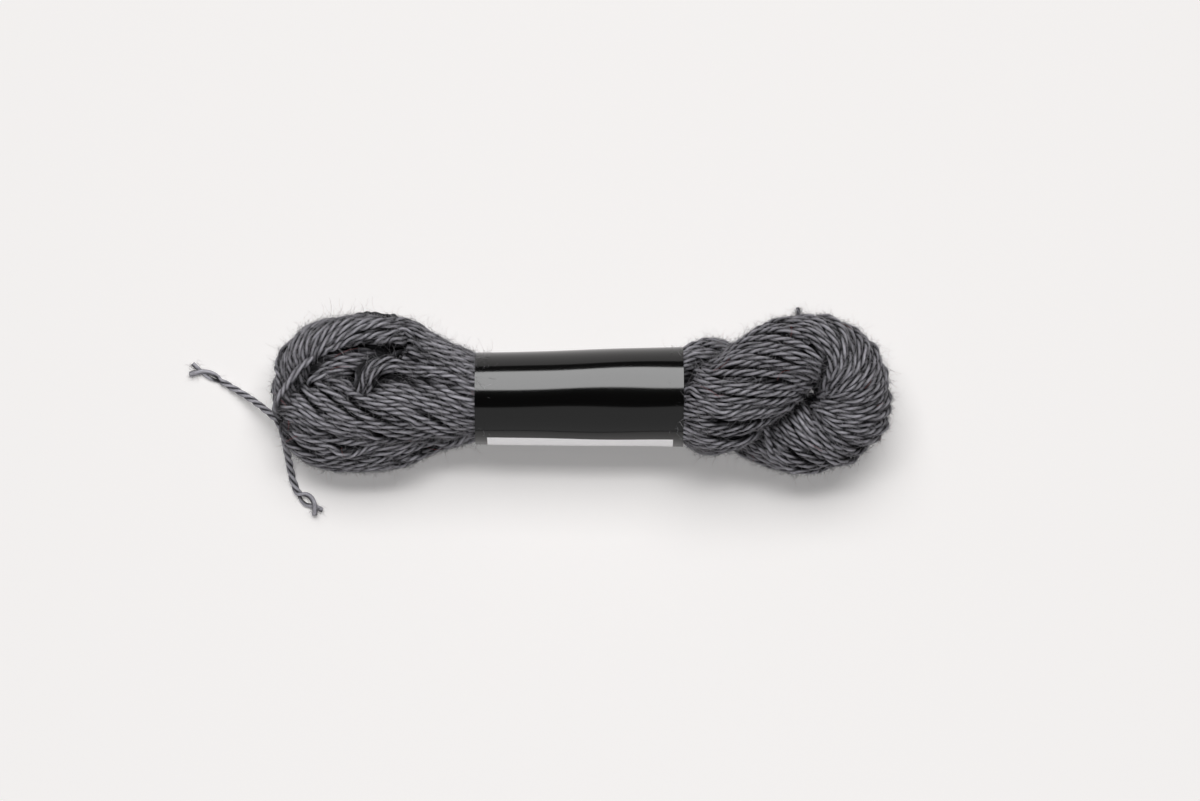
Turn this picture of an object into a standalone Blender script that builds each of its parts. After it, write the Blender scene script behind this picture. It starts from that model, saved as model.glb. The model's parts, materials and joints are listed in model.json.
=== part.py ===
"""A twisted skein of embroidery silk, held round its waist by a paper band and tied at one end.

The thread was wound 60 times round a frame 18 inches about, 30 yards in all. The loop was twisted,
folded in half and left to ply round itself. The fold is the right end (+X) and the two ends of the
twisted loop meet at the left end (-X), where a short piece of the same thread ties them.

Everything is in metres, +Z up. The skein lies along X on the plane Z = 0, with the origin at the
middle of its length and breadth on that plane.
"""

import math
from collections import namedtuple

import bmesh
import bpy
from mathutils import Vector

MM = 0.001

# Driving dimensions, in millimetres.
YARN_DIAMETER = 1.05
CLEARANCE = 0.3
BAND_LEFT_X = -20.0
BAND_RIGHT_X = 18.3
BAND_PAPER = 1.0
SURFACE_BLOCK = (160.0, 80.0, 10.0)

# A bundle's ridges stand for groups of four yarns that lie side by side. Each has two points on
# its crest and one in the groove before it.
RIDGE_PITCH = 4.0 * YARN_DIAMETER
RIDGE_PROFILE = (-0.55, 0.15, 0.15)
RING_STEP = 2.2
BEND_SHARE = 0.8

# x, y, z: the middle of the bundle. across, tall: half its width and half its height.
# twist: how many degrees the yarns turn round the bundle in each millimetre, positive for a Z twist.
Section = namedtuple("Section", "x y z across tall twist")

# The rope that leaves the band in front and climbs over the other to the far side.
FRONT_ROPE = [
    Section(13.0, -2.6, 12.6, 4.0, 3.8, 2.0),
    Section(19.8, -3.0, 13.0, 4.6, 4.2, 2.5),
    Section(22.2, -4.2, 13.6, 7.4, 6.1, 3.0),
    Section(25.2, -3.3, 14.6, 8.9, 6.7, 3.5),
    Section(28.5, -1.1, 15.6, 9.1, 6.7, 3.8),
    Section(32.6, 1.8, 15.8, 8.7, 6.8, 4.2),
    Section(36.7, 4.4, 15.2, 8.1, 7.0, 4.6),
    Section(40.4, 6.2, 14.2, 7.0, 6.6, 5.0),
    Section(44.2, 7.0, 12.9, 5.0, 5.4, 5.0),
]

# The fold at the right end, where the rope turns back.
FOLD_CENTRE = (42.3, -0.3)
FOLD_RADIUS = 8.3
FOLD_START_DEGREES = 128.0
FOLD_END_DEGREES = -128.0
FOLD_START_Z = 13.6
FOLD_END_Z = 7.4
FOLD_ACROSS = 6.8
FOLD_TALL = 8.2
FOLD_TWIST = 9.5
FOLD_SECTIONS = 13
FOLD_SMALLEST = 0.55
FOLD_SWELL = 1.8
FOLD_RING_STEP = 1.3

# The rope on its way back under the front one, and into the band behind it.
RETURN_ROPE = [
    Section(42.6, -7.0, 7.6, 5.0, 5.0, 8.0),
    Section(39.4, -7.0, 7.2, 7.4, 6.8, 8.0),
    Section(36.2, -6.2, 6.7, 8.4, 7.2, 7.0),
    Section(33.0, -4.6, 6.3, 8.4, 6.7, 5.0),
    Section(29.8, -2.2, 6.2, 8.3, 6.6, 4.0),
    Section(26.6, 0.6, 6.6, 7.8, 6.8, 3.0),
    Section(23.6, 2.8, 7.8, 7.0, 6.6, 2.0),
    Section(20.6, 1.1, 9.5, 2.8, 3.9, 1.0),
    Section(13.0, 1.0, 9.6, 2.8, 4.2, 1.0),
]

# The broad bundle on top of the left end.
BELLY = [
    Section(-15.5, -1.1, 11.6, 5.2, 4.6, 1.5),
    Section(-21.0, -1.0, 12.0, 6.0, 5.1, 2.0),
    Section(-24.8, -1.2, 12.2, 7.3, 6.4, 2.4),
    Section(-30.4, -2.0, 12.0, 7.6, 6.8, 2.6),
    Section(-35.9, -2.6, 11.6, 7.5, 6.8, 2.6),
    Section(-41.5, -2.6, 11.0, 7.3, 6.7, 2.6),
    Section(-47.0, -2.3, 10.3, 7.0, 6.5, 2.6),
    Section(-51.6, -2.2, 9.4, 6.2, 6.0, 2.6),
    Section(-54.4, -2.5, 8.7, 4.9, 5.0, 2.6),
    Section(-56.4, -2.8, 8.2, 2.9, 3.2, 2.6),
]

# The flatter bundle under it, which shows along the lower edge.
HEM = [
    Section(-15.5, -2.6, 8.6, 3.8, 4.0, 0.4),
    Section(-21.6, -2.7, 8.3, 3.8, 4.2, 0.4),
    Section(-25.0, -4.1, 7.0, 6.4, 6.2, 0.5),
    Section(-30.4, -5.0, 6.2, 7.8, 6.6, 0.5),
    Section(-35.9, -5.7, 6.0, 8.7, 6.6, 0.5),
    Section(-41.5, -5.9, 5.9, 9.0, 6.5, 0.5),
    Section(-47.0, -5.6, 6.0, 8.8, 6.4, 0.5),
    Section(-51.6, -4.9, 6.5, 7.8, 6.1, 0.5),
    Section(-54.4, -4.3, 7.0, 5.8, 5.2, 0.5),
    Section(-56.4, -3.8, 7.4, 3.0, 3.4, 0.5),
]

# The bundle in the valley between the belly and the roll.
TONGUE = [
    Section(-15.5, 0.4, 9.4, 3.8, 4.2, 0.8),
    Section(-21.4, 0.6, 9.4, 3.7, 3.9, 0.8),
    Section(-25.6, 3.0, 8.6, 5.6, 6.9, 0.8),
    Section(-30.4, 4.2, 8.2, 6.3, 8.0, 0.8),
    Section(-35.9, 4.7, 8.0, 6.7, 8.2, 0.8),
    Section(-41.5, 4.8, 7.9, 6.9, 8.1, 0.8),
    Section(-47.0, 4.2, 7.8, 6.9, 7.8, 0.8),
    Section(-51.4, 2.6, 7.7, 6.4, 7.0, 0.8),
    Section(-54.2, 0.9, 7.7, 5.2, 5.8, 0.8),
    Section(-56.3, 0.1, 7.7, 2.6, 3.6, 0.8),
]

# The narrow bundle that rolls along the upper edge and round the left end to the knot.
ROLL = [
    Section(-15.9, 2.3, 11.6, 2.6, 3.7, -1.5),
    Section(-21.0, 2.6, 11.6, 2.8, 4.2, -1.8),
    Section(-24.8, 5.4, 12.0, 3.6, 5.3, -2.0),
    Section(-29.4, 8.0, 11.8, 3.9, 5.6, -2.2),
    Section(-34.1, 9.7, 11.6, 4.0, 5.8, -2.4),
    Section(-39.3, 10.7, 11.3, 4.1, 5.9, -2.5),
    Section(-44.3, 10.3, 11.0, 4.1, 6.0, -2.5),
    Section(-48.9, 8.6, 10.6, 4.0, 5.9, -2.5),
    Section(-52.0, 5.9, 10.1, 3.6, 5.6, -2.2),
    Section(-53.8, 2.6, 9.4, 2.9, 5.0, -2.0),
    Section(-54.4, -1.0, 8.8, 2.3, 4.2, -1.8),
    Section(-54.4, -4.4, 8.4, 1.6, 3.0, -1.5),
]

# The short bundle that comes out of the band over the roll and dives behind it.
SHOULDER = [
    Section(-16.0, 0.2, 13.2, 2.0, 2.2, 0.0),
    Section(-21.2, 0.9, 13.7, 2.1, 2.4, 0.0),
    Section(-24.0, 4.8, 14.0, 3.4, 4.0, 0.0),
    Section(-27.6, 7.8, 14.0, 3.6, 4.3, 0.0),
    Section(-30.8, 10.1, 12.9, 3.2, 4.1, 0.0),
    Section(-33.6, 11.1, 10.9, 2.6, 3.6, 0.0),
    Section(-36.4, 11.4, 9.4, 1.6, 2.4, 0.0),
]

# The waist inside the band. The band keeps the clearance to it.
Waist = namedtuple("Waist", "x y z across tall")
WAIST = [
    Waist(-24.0, -1.1, 10.3, 6.6, 7.0),
    Waist(-20.6, -1.2, 10.3, 7.13, 7.5),
    Waist(-10.0, -1.1, 10.4, 7.4, 7.6),
    Waist(8.0, -1.0, 10.5, 7.8, 7.8),
    Waist(18.9, -0.9, 10.6, 7.96, 8.0),
    Waist(23.0, -0.9, 10.6, 7.4, 7.4),
    Waist(27.0, -0.7, 10.8, 5.6, 5.0),
]
WAIST_POINTS = 48

# The crossing of the yarns inside the fold, which leaves no hole there.
HEART_CENTRE = (42.6, -0.6, 8.8)
HEART_REACH = (6.6, 6.6, 8.2)
HEART_SEGMENTS = 24
HEART_RINGS = 14

# The tie: its free ends lie on the surface and pass by the knot. The points are chosen by hand.
TIE_DIAMETER = 1.1
TIE_ROUTE = [
    (-73.0, 4.4, 0.6),
    (-71.4, 3.6, 0.6),
    (-69.0, 2.2, 0.65),
    (-66.4, 0.7, 1.0),
    (-63.8, -0.8, 1.9),
    (-61.6, -2.2, 3.3),
    (-60.0, -3.6, 4.7),
    (-59.0, -5.4, 5.2),
    (-58.0, -7.4, 4.6),
    (-56.6, -9.8, 3.2),
    (-55.4, -12.3, 1.6),
    (-54.4, -14.6, 0.8),
    (-53.2, -17.2, 0.6),
    (-52.0, -19.6, 0.6),
    (-51.0, -21.6, 0.6),
    (-50.4, -23.0, 0.6),
]
TIE_POINTS = 76
TIE_FINE_STEP = 0.5
TIE_PLIES = 3
TIE_PLY_PITCH = 6.6
TIE_PLY_DEPTH = 0.14
TIE_PROFILE_POINTS = 9

SILK_COLOUR = (0.082, 0.080, 0.088, 1.0)
TIE_COLOUR = (0.075, 0.078, 0.088, 1.0)
PAPER_COLOUR = (0.012, 0.012, 0.012, 1.0)


def clear_scene():
    for obj in list(bpy.data.objects):
        bpy.data.objects.remove(obj, do_unlink=True)


def material(name, colour, roughness, metallic=0.0):
    """A plain finish."""
    finish = bpy.data.materials.new(name)
    finish.use_nodes = True
    shader = finish.node_tree.nodes["Principled BSDF"]
    shader.inputs["Base Color"].default_value = colour
    shader.inputs["Roughness"].default_value = roughness
    shader.inputs["Metallic"].default_value = metallic
    return finish


def catmull_rom(before, start, end, after, t):
    """The value at t between start and end on a smooth curve through all four."""
    return 0.5 * (
        2 * start
        + (end - before) * t
        + (2 * before - 5 * start + 4 * end - after) * t * t
        + (3 * start - before - 3 * end + after) * t**3
    )


def smooth_rows(rows, step):
    """Rows of the same columns along a smooth curve through the given ones, about a step apart."""
    kind = type(rows[0])
    made = []
    last = len(rows) - 1
    for i in range(last):
        near = [rows[max(i - 1, 0)], rows[i], rows[i + 1], rows[min(i + 2, last)]]
        gap = (Vector(rows[i + 1][:3]) - Vector(rows[i][:3])).length
        pieces = max(1, round(gap / step))
        for k in range(pieces):
            columns = zip(*near)
            made.append(kind(*(catmull_rom(*column, k / pieces) for column in columns)))
    made.append(rows[last])
    return made


def frames_along(rows):
    """For each row its centre, the level direction across the bundle, and the one above it."""
    centres = [Vector(row[:3]) for row in rows]
    frames = []
    for i, centre in enumerate(centres):
        along = centres[min(i + 1, len(rows) - 1)] - centres[max(i - 1, 0)]
        side = along.cross(Vector((0, 0, 1))).normalized()
        up = side.cross(along).normalized()
        frames.append((centre, side, up))
    return frames


def bend_limits(frames):
    """How far each section may reach to its two sides before it meets its neighbours in a bend."""
    limits = []
    for i, (centre, side, _) in enumerate(frames):
        before, after = frames[max(i - 1, 0)], frames[min(i + 1, len(frames) - 1)]
        turned = (after[1] - before[1]).length
        travelled = (after[0] - before[0]).length
        radius = travelled / max(turned, 1e-6)
        inward = (after[0] + before[0] - 2 * centre).dot(side)
        limits.append((radius if inward > 0 else math.inf, radius if inward < 0 else math.inf))
    return limits


def ring_points(frame, limit, row, turn, ridges):
    """One section of a bundle: an ellipse with a ridge for each pair of yarns."""
    centre, side, up = frame
    count = ridges * len(RIDGE_PROFILE)
    points = []
    for k in range(count):
        angle = 2 * math.pi * k / count + turn
        crest = RIDGE_PROFILE[k % len(RIDGE_PROFILE)] * min(1.0, row.across / RIDGE_PITCH)
        sideways = math.cos(angle) * (row.across + crest)
        pinch = limit[0] if sideways > 0 else limit[1]
        sideways = math.copysign(min(abs(sideways), BEND_SHARE * pinch), sideways)
        upwards = math.sin(angle) * (row.tall + crest)
        points.append(centre + side * sideways + up * upwards)
    return points


def lofted_object(name, rings):
    """A closed body through a list of rings of points in millimetres, with its ends filled."""
    mesh = bpy.data.meshes.new(name)
    bm = bmesh.new()
    loops = [[bm.verts.new(point * MM) for point in ring] for ring in rings]
    for ring in loops:
        for a, b in zip(ring, ring[1:] + ring[:1]):
            bm.edges.new((a, b))
    for near, far in zip(loops, loops[1:]):
        for k in range(len(near)):
            following = (k + 1) % len(near)
            bm.faces.new((near[k], near[following], far[following], far[k]))
    bm.faces.new(loops[0])
    bm.faces.new(loops[-1])
    bmesh.ops.recalc_face_normals(bm, faces=bm.faces)
    bm.to_mesh(mesh)
    bm.free()
    obj = bpy.data.objects.new(name, mesh)
    bpy.context.scene.collection.objects.link(obj)
    return obj


def bundle(name, sections, ring_step=RING_STEP):
    """A bundle of yarns through its sections, with the yarns' twist raised on it."""
    rows = smooth_rows(sections, ring_step)
    frames = frames_along(rows)
    limits = bend_limits(frames)
    widest = max(row.across + row.tall for row in rows)
    ridges = round(math.pi * widest / RIDGE_PITCH)
    rings = []
    turn = 0.0
    for i, (frame, limit, row) in enumerate(zip(frames, limits, rows)):
        if i:
            turn -= math.radians(row.twist) * (frame[0] - frames[i - 1][0]).length
        rings.append(ring_points(frame, limit, row, turn, ridges))
    return lofted_object(name, rings)


def fold_sections():
    """The fold's sections along an arc that sinks from the front rope to the one behind."""
    sections = []
    for i in range(FOLD_SECTIONS):
        t = i / (FOLD_SECTIONS - 1)
        angle = math.radians(FOLD_START_DEGREES + (FOLD_END_DEGREES - FOLD_START_DEGREES) * t)
        x = FOLD_CENTRE[0] + FOLD_RADIUS * math.cos(angle)
        y = FOLD_CENTRE[1] + FOLD_RADIUS * math.sin(angle)
        z = FOLD_START_Z + (FOLD_END_Z - FOLD_START_Z) * t
        swell = min(1.0, FOLD_SMALLEST + FOLD_SWELL * math.sin(math.pi * t))
        sections.append(Section(x, y, z, FOLD_ACROSS * swell, FOLD_TALL * swell, FOLD_TWIST))
    return sections


def oval_rings(rows, grow):
    """Plain oval rings across X, each one larger than its row by grow."""
    rings = []
    for row in rows:
        ring = []
        for k in range(WAIST_POINTS):
            angle = 2 * math.pi * k / WAIST_POINTS
            across = math.cos(angle) * (row.across + grow)
            tall = math.sin(angle) * (row.tall + grow)
            ring.append(Vector((row.x, row.y + across, row.z + tall)))
        rings.append(ring)
    return rings


def hide_helper(obj):
    obj.hide_render = True
    obj.display_type = "WIRE"


def add_boolean(obj, other, operation, solver="EXACT"):
    """Joins a helper to an object, or cuts it away."""
    hide_helper(other)
    modifier = obj.modifiers.new(other.name, "BOOLEAN")
    modifier.operation = operation
    modifier.object = other
    modifier.solver = solver


def heart():
    """The rounded lump of yarn inside the fold."""
    bpy.ops.mesh.primitive_uv_sphere_add(segments=HEART_SEGMENTS, ring_count=HEART_RINGS)
    obj = bpy.context.object
    obj.name = "heart_of_fold"
    for vertex in obj.data.vertices:
        vertex.co = [
            (middle + reach * value) * MM
            for middle, reach, value in zip(HEART_CENTRE, HEART_REACH, vertex.co)
        ]
    return obj


def table_cutter():
    """What lies under the skein: it presses a small flat on each bundle that it carries."""
    bpy.ops.mesh.primitive_cube_add(size=1)
    obj = bpy.context.object
    obj.name = "flat_underneath"
    for vertex in obj.data.vertices:
        vertex.co.x *= SURFACE_BLOCK[0] * MM
        vertex.co.y *= SURFACE_BLOCK[1] * MM
        vertex.co.z = (vertex.co.z - 0.5) * SURFACE_BLOCK[2] * MM
    return obj


def make_hank():
    """The wound thread: every bundle joined into one body."""
    hank = lofted_object("hank", oval_rings(WAIST, 0.0))
    hank.data.materials.append(material("dark grey silk", SILK_COLOUR, 0.62))
    helpers = [
        bundle("front_rope", FRONT_ROPE),
        bundle("return_rope", RETURN_ROPE),
        heart(),
        bundle("fold", fold_sections(), FOLD_RING_STEP),
        bundle("belly", BELLY),
        bundle("hem", HEM),
        bundle("tongue", TONGUE),
        bundle("roll", ROLL),
        bundle("shoulder", SHOULDER),
    ]
    for helper in helpers:
        add_boolean(hank, helper, "UNION", "MANIFOLD")
    add_boolean(hank, table_cutter(), "DIFFERENCE", "MANIFOLD")
    return hank


def waist_at(x):
    """The waist's section at a place along it."""
    for near, far in zip(WAIST, WAIST[1:]):
        if near.x <= x <= far.x:
            t = (x - near.x) / (far.x - near.x)
            return Waist(*(a + (b - a) * t for a, b in zip(near, far)))
    raise ValueError("the waist doesn't reach there")


def make_band():
    """The paper band: a short sleeve that follows the waist, open at both ends."""
    inner = [row.x for row in WAIST if BAND_LEFT_X < row.x < BAND_RIGHT_X]
    outside = oval_rings(
        [waist_at(x) for x in (BAND_LEFT_X, *inner, BAND_RIGHT_X)], CLEARANCE + BAND_PAPER
    )
    band = lofted_object("band", outside)
    band.data.materials.append(material("black gloss paper", PAPER_COLOUR, 0.18))
    add_boolean(band, lofted_object("band_inside", oval_rings(WAIST, CLEARANCE)), "DIFFERENCE")
    return band


def make_tie():
    """The free ends of the tie, a tube with the twist of its plies."""
    profile = bpy.data.curves.new("ply_profile", "CURVE")
    profile.dimensions = "2D"
    outline = profile.splines.new("POLY")
    outline.points.add(TIE_PROFILE_POINTS - 1)
    outline.use_cyclic_u = True
    for k, point in enumerate(outline.points):
        angle = -2 * math.pi * k / TIE_PROFILE_POINTS
        radius = 0.5 * TIE_DIAMETER - TIE_PLY_DEPTH * (k % TIE_PLIES != 0)
        point.co = (radius * math.cos(angle) * MM, radius * math.sin(angle) * MM, 0, 1)
    guide = bpy.data.objects.new("ply_profile", profile)
    bpy.context.scene.collection.objects.link(guide)
    hide_helper(guide)

    curve = bpy.data.curves.new("tie", "CURVE")
    curve.dimensions = "3D"
    curve.bevel_mode = "OBJECT"
    curve.bevel_object = guide
    curve.use_fill_caps = True
    route = namedtuple("Route", "x y z")
    fine = smooth_rows([route(*point) for point in TIE_ROUTE], TIE_FINE_STEP)
    spline = curve.splines.new("POLY")
    picked = [fine[round(i * (len(fine) - 1) / (TIE_POINTS - 1))] for i in range(TIE_POINTS)]
    spline.points.add(TIE_POINTS - 1)
    travelled = 0.0
    for i, (point, place) in enumerate(zip(spline.points, picked)):
        if i:
            travelled += (Vector(place) - Vector(picked[i - 1])).length
        point.co = (*(Vector(place) * MM), 1)
        point.tilt = 2 * math.pi * travelled / TIE_PLY_PITCH
    tie = bpy.data.objects.new("tie", curve)
    bpy.context.scene.collection.objects.link(tie)
    curve.materials.append(material("tie silk", TIE_COLOUR, 0.6))
    return tie


clear_scene()
make_hank()
make_band()
make_tie()
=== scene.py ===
"""The looks of a twisted skein of embroidery silk, lying on a pale surface and seen from above."""

import json
import math
from collections import namedtuple

import bmesh
import bpy
import numpy as np
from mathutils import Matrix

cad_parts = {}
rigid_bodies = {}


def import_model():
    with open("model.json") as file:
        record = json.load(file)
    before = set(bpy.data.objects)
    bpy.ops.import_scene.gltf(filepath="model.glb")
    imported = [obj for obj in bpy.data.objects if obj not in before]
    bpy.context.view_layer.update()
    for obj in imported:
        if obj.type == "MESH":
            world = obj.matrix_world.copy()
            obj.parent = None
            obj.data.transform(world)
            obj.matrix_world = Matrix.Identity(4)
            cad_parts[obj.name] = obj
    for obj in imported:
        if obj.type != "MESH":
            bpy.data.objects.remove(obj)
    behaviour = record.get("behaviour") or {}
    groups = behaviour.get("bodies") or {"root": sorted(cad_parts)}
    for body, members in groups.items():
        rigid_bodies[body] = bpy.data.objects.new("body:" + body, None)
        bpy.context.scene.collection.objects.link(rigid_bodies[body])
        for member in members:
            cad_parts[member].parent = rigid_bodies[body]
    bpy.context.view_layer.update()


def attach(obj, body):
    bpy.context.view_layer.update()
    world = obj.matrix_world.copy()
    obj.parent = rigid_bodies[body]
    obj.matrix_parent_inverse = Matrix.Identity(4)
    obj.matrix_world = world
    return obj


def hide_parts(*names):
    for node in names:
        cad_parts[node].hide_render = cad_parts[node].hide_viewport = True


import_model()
bpy.ops.object.select_all(action="DESELECT")
MM = 0.001

# ------------------------------------------------------------
# The camera looks straight down, with +X to the right and +Y up in the picture. At the height of
# the skein's outline the picture's 1200 by 801 pixels show 5.4 pixels to the millimetre.
# ------------------------------------------------------------
PICTURE_PIXELS = 1200
PIXELS_PER_MM = 5.4
OUTLINE_HEIGHT = 0.010
CAMERA_DISTANCE = 0.75
VIEW_CENTRE = (0.00296, -0.00157)

lens = bpy.data.cameras.new("camera")
lens.sensor_width = 36.0
lens.lens = lens.sensor_width * CAMERA_DISTANCE / (PICTURE_PIXELS / PIXELS_PER_MM * MM)
lens.clip_start = 0.01
camera = bpy.data.objects.new("camera", lens)
camera.location = (*VIEW_CENTRE, OUTLINE_HEIGHT + CAMERA_DISTANCE)
bpy.context.scene.collection.objects.link(camera)
bpy.context.scene.camera = camera

# ------------------------------------------------------------
# The thread is silk, three plies laid together with an S twist and slightly hairy. Loose in the
# hank it is 1.35 mm thick. Each thread here is a tube of that section along its own line, and
# its material carries a painted highlight on the crest of each ply and painted shade in the
# grooves between them. Sizes are in millimetres.
# ------------------------------------------------------------
THREAD = 1.35
PLIES = 3
PLY_PITCH = 7.4
PLY_PROFILE = (0.50, 0.84, 1.0, 0.84)
PATTERN_SHIFT = 50.0
RNG = np.random.default_rng(7)

# The side of a thread that faces into the hank gets painted shade, and the one that faces out of it
# is open to the light: how far a side faces out, and how open it is there.
FACING, SIDE_OPENNESS = (-0.1, 0.85), (0.05, 1.0)


def unit(vector):
    """The direction of a vector."""
    return vector / np.linalg.norm(vector)


def unit_rows(vectors):
    """The direction of each row of a table."""
    return vectors / np.linalg.norm(vectors, axis=1)[:, None]


def travelled(points):
    """How far along a line each of its points lies."""
    lengths = np.linalg.norm(np.diff(points[:, :3], axis=0), axis=1)
    return np.concatenate([[0.0], np.cumsum(lengths)])


def smooth_line(rows, step):
    """Rows of numbers along a smooth curve through the given ones, about a step apart."""
    rows = np.array(rows, float)
    padded = np.vstack([2 * rows[0] - rows[1], rows, 2 * rows[-1] - rows[-2]])
    made = []
    for i in range(len(rows) - 1):
        p0, p1, p2, p3 = padded[i : i + 4]
        pieces = max(1, round(float(np.linalg.norm(p2[:3] - p1[:3])) / step))
        t = (np.arange(pieces) / pieces)[:, None]
        squared = 2 * p0 - 5 * p1 + 4 * p2 - p3
        cubed = 3 * p1 - p0 - 3 * p2 + p3
        made.append((2 * p1 + (p2 - p0) * t + squared * t**2 + cubed * t**3) / 2)
    made.append(rows[-1:])
    return np.vstack(made)


def even_line(points, step):
    """The same line with its points an even step apart."""
    along = travelled(points)
    count = max(3, int(round(along[-1] / step)) + 1)
    places = np.linspace(0.0, along[-1], count)
    return np.column_stack([np.interp(places, along, column) for column in points.T])


def line_frames(points):
    """For each point of a line two directions across it, which don't twist along it."""
    along = unit_rows(np.gradient(points, axis=0))
    across = np.zeros_like(along)
    start = np.cross(along[0], (0.0, 0.0, 1.0))
    if np.linalg.norm(start) < 0.1:  # the line starts upright
        start = np.cross(along[0], (0.0, 1.0, 0.0))
    across[0] = unit(start)
    for i in range(1, len(points)):
        across[i] = unit(across[i - 1] - along[i] * np.dot(across[i - 1], along[i]))
    return across, np.cross(along, across)


def thread_section(corners_per_ply=4):
    """The angle and relative radius of each corner of a thread's section."""
    count = PLIES * corners_per_ply
    return 2 * math.pi * np.arange(count) / count, np.resize(PLY_PROFILE, count)


class Strands:
    """Threads, plies or fibres that are tubes of one mesh."""

    def __init__(self):
        self.points, self.loops, self.sizes, self.uvs = [], [], [], []
        self.crest, self.shade, self.open = [], [], []
        self.count = 0

    def add(self, line, radius, section, pitch=0.0, shade=0.5, phase=0.0, **more):
        """A closed tube along a line in millimetres; pitch is the length of a left-hand turn.

        More can say how thick it is along the line (taper), how far each place along it is open
        to the light (exposed), which way is out of the hank (outward), and a crest for all of it.
        """
        angles, profile = section
        taper = more.get("taper", np.ones(len(line)))
        exposed = more.get("exposed", np.ones(len(line)))
        across, up = line_frames(line)
        along = travelled(line)
        rings, corners = len(line), len(angles)
        turn = phase - 2 * math.pi * along / pitch if pitch else np.full(rings, phase)
        reach = radius * profile[None, :] * taper[:, None]
        angle = angles[None, :] + turn[:, None]
        ring = (
            line[:, None, :]
            + (reach * np.cos(angle))[..., None] * across[:, None, :]
            + (reach * np.sin(angle))[..., None] * up[:, None, :]
        )
        self.points.append(ring.reshape(-1, 3) * MM)

        i, k = np.meshgrid(np.arange(rings - 1), np.arange(corners), indexing="ij")
        near, far, following = i * corners, (i + 1) * corners, (k + 1) % corners
        quads = np.stack([near + k, near + following, far + following, far + k], axis=-1)
        self.loops.append((quads + self.count).reshape(-1))
        self.sizes.append(np.full(quads.shape[0] * quads.shape[1], 4))
        round_uv = np.stack([k, k + 1, k + 1, k], axis=-1).reshape(-1) / corners
        along_uv = np.stack([along[i], along[i], along[i + 1], along[i + 1]], axis=-1).reshape(-1)
        start = RNG.uniform(0.0, PATTERN_SHIFT)
        self.uvs.append(np.column_stack([round_uv, along_uv + start]))
        for cap in (np.arange(corners)[::-1], (rings - 1) * corners + np.arange(corners)):
            self.loops.append(cap + self.count)
            self.sizes.append(np.array([corners]))
            self.uvs.append(np.full((corners, 2), start))

        heights = (profile - profile.min()) / max(np.ptp(profile), 1e-6)
        if "crest" in more:
            heights = np.full(corners, more["crest"])
        self.crest.append(np.tile(heights, rings))
        self.shade.append(np.full(rings * corners, shade))
        facing = np.ones((rings, corners))
        if "outward" in more:
            normals = (ring - line[:, None, :]) / np.maximum(reach, 1e-6)[..., None]
            facing_out = (normals * more["outward"][:, None, :]).sum(axis=2)
            facing = np.interp(facing_out, FACING, SIDE_OPENNESS)
        self.open.append((facing * exposed[:, None]).reshape(-1))
        self.count += rings * corners

    def make_object(self, name):
        """The collected tubes as one mesh object."""
        mesh = bpy.data.meshes.new(name)
        points = np.concatenate(self.points)
        loops = np.concatenate(self.loops)
        sizes = np.concatenate(self.sizes)
        mesh.vertices.add(len(points))
        mesh.vertices.foreach_set("co", points.astype(np.float32).reshape(-1))
        mesh.loops.add(len(loops))
        mesh.loops.foreach_set("vertex_index", loops.astype(np.int32))
        mesh.polygons.add(len(sizes))
        starts = np.concatenate([[0], np.cumsum(sizes)[:-1]])
        mesh.polygons.foreach_set("loop_start", starts.astype(np.int32))
        mesh.update(calc_edges=True)
        layer = mesh.uv_layers.new(name="thread")
        layer.data.foreach_set("uv", np.concatenate(self.uvs).astype(np.float32).reshape(-1))
        for title, values in (("crest", self.crest), ("shade", self.shade), ("open", self.open)):
            attribute = mesh.attributes.new(title, "FLOAT", "POINT")
            attribute.data.foreach_set("value", np.concatenate(values).astype(np.float32))
        mesh.shade_smooth()
        obj = bpy.data.objects.new(name, mesh)
        bpy.context.scene.collection.objects.link(obj)
        return obj


class Socket:
    """A node's output that Python's operators work on."""

    def __init__(self, tree, output):
        self.tree, self.output = tree, output

    def feed(self, name):
        """Links it to a socket of its material's shader."""
        self.tree.links.new(self.output, self.tree.nodes["Principled BSDF"].inputs[name])

    def maths(self, operation, *values):
        return node(self.tree, "ShaderNodeMath", values, operation=operation)

    def __add__(self, other):
        return self.maths("ADD", self, other)

    def __mul__(self, other):
        return self.maths("MULTIPLY", self, other)

    def __sub__(self, other):
        return self.maths("SUBTRACT", self, other)

    def __rsub__(self, other):
        return self.maths("SUBTRACT", other, self)

    def __pow__(self, other):
        return self.maths("POWER", self, other)

    __radd__ = __add__
    __rmul__ = __mul__


def node(tree, kind, values=(), output=0, **settings):
    """Adds a node: its settings first, then its sockets' values or links by place or by name."""
    made = tree.nodes.new(kind)
    for name, value in settings.items():
        setattr(made, name, value)
    for place, value in values.items() if isinstance(values, dict) else enumerate(values):
        if isinstance(value, Socket):
            tree.links.new(value.output, made.inputs[place])
        else:
            made.inputs[place].default_value = value
    return Socket(tree, made.outputs[output])


def mixed(tree, share, first, second):
    """The first colour where the share is 0, and the second where it is 1."""
    values = {0: share, 6: first, 7: second}
    return node(tree, "ShaderNodeMix", values, output=2, data_type="RGBA")


def attribute(tree, name):
    """A number that each corner of the mesh carries."""
    return node(tree, "ShaderNodeAttribute", output="Fac", attribute_name=name)


def new_material(name, values):
    """A material with these values on its shader."""
    material = bpy.data.materials.new(name)
    material.use_nodes = True
    for socket, value in values.items():
        material.node_tree.nodes["Principled BSDF"].inputs[socket].default_value = value
    return material


# What makes silk lighter: a painted highlight on the crest of a ply, which leaves painted shade in
# the grooves between plies, fibres, broad patches and the thread's own shade.
CREST_SHAPE, CREST_HIGHLIGHT, FIBRE_LIGHT = 1.3, 0.75, 0.75
PATCH_LIGHT, SHADE_LIGHT, DARKER = 0.5, 0.5, 0.825
DULL, GLOSSIER = 0.85, 0.55


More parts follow.
